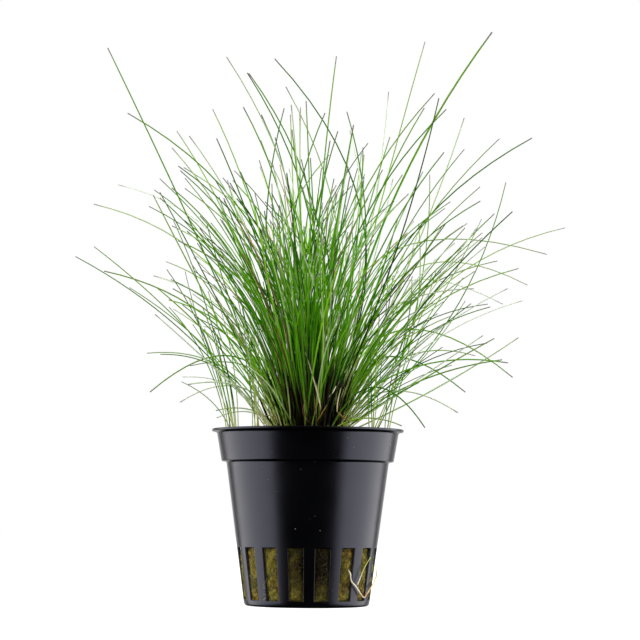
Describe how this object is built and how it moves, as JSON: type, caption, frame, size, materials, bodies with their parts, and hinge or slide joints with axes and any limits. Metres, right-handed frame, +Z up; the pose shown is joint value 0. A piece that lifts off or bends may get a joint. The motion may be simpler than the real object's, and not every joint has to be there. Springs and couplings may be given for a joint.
{
  "type": "potted dwarf hairgrass",
  "caption": "Dense tuft of thread-like green grass culms fanning out of a mineral wool plug in a small black slotted net pot with a flared lip and a stepped collar.",
  "frame": {"origin": "centre of the pot's underside, on the surface it stands on", "axes": "+Z up along the pot's axis; -Y is the front, the side in the picture; +X is the picture's right"},
  "size_m": [0.1436, 0.1165, 0.1688],
  "materials": {
    "pot_plastic": "black moulded plastic, satin, faint specks of grit",
    "mineral_wool": "matted olive-brown mineral fibres",
    "green_culm": "fresh green culms, pale or brown at the foot, grey-brown at the tip",
    "dry_root": "dry straw-coloured root",
    "pale_runner": "pale yellow-green runner"
  },
  "bodies": {
    "root": {"net_pot": "pot_plastic", "wool_plug": "mineral_wool", "loose_root": "dry_root", "loose_runner": "pale_runner", "tuft_01": "green_culm", "tuft_02": "green_culm", "tuft_03": "green_culm", "tuft_04": "green_culm", "tuft_05": "green_culm", "tuft_06": "green_culm", "tuft_07": "green_culm", "tuft_08": "green_culm", "tuft_09": "green_culm", "tuft_10": "green_culm", "tuft_11": "green_culm", "tuft_12": "green_culm", "tuft_13": "green_culm", "tuft_14": "green_culm", "tuft_15": "green_culm", "tuft_16": "green_culm", "tuft_17": "green_culm", "tuft_18": "green_culm", "tuft_19": "green_culm", "tuft_20": "green_culm", "tuft_21": "green_culm", "tuft_22": "green_culm", "tuft_23": "green_culm", "tuft_24": "green_culm", "tuft_25": "green_culm", "tuft_26": "green_culm", "tuft_27": "green_culm", "tuft_28": "green_culm", "tuft_29": "green_culm", "tuft_30": "green_culm", "tuft_31": "green_culm", "tuft_32": "green_culm", "tuft_33": "green_culm", "tuft_34": "green_culm", "tuft_35": "green_culm", "tuft_36": "green_culm", "tuft_37": "green_culm", "tuft_38": "green_culm", "tuft_39": "green_culm", "tuft_40": "green_culm", "tuft_41": "green_culm", "tuft_42": "green_culm", "tuft_43": "green_culm", "tuft_44": "green_culm", "edge_tuft_1": "green_culm", "edge_tuft_2": "green_culm", "edge_tuft_3": "green_culm", "edge_tuft_4": "green_culm", "edge_tuft_5": "green_culm", "edge_tuft_6": "green_culm", "edge_tuft_7": "green_culm", "edge_tuft_8": "green_culm", "edge_tuft_9": "green_culm"}
  },
  "joints": []
}
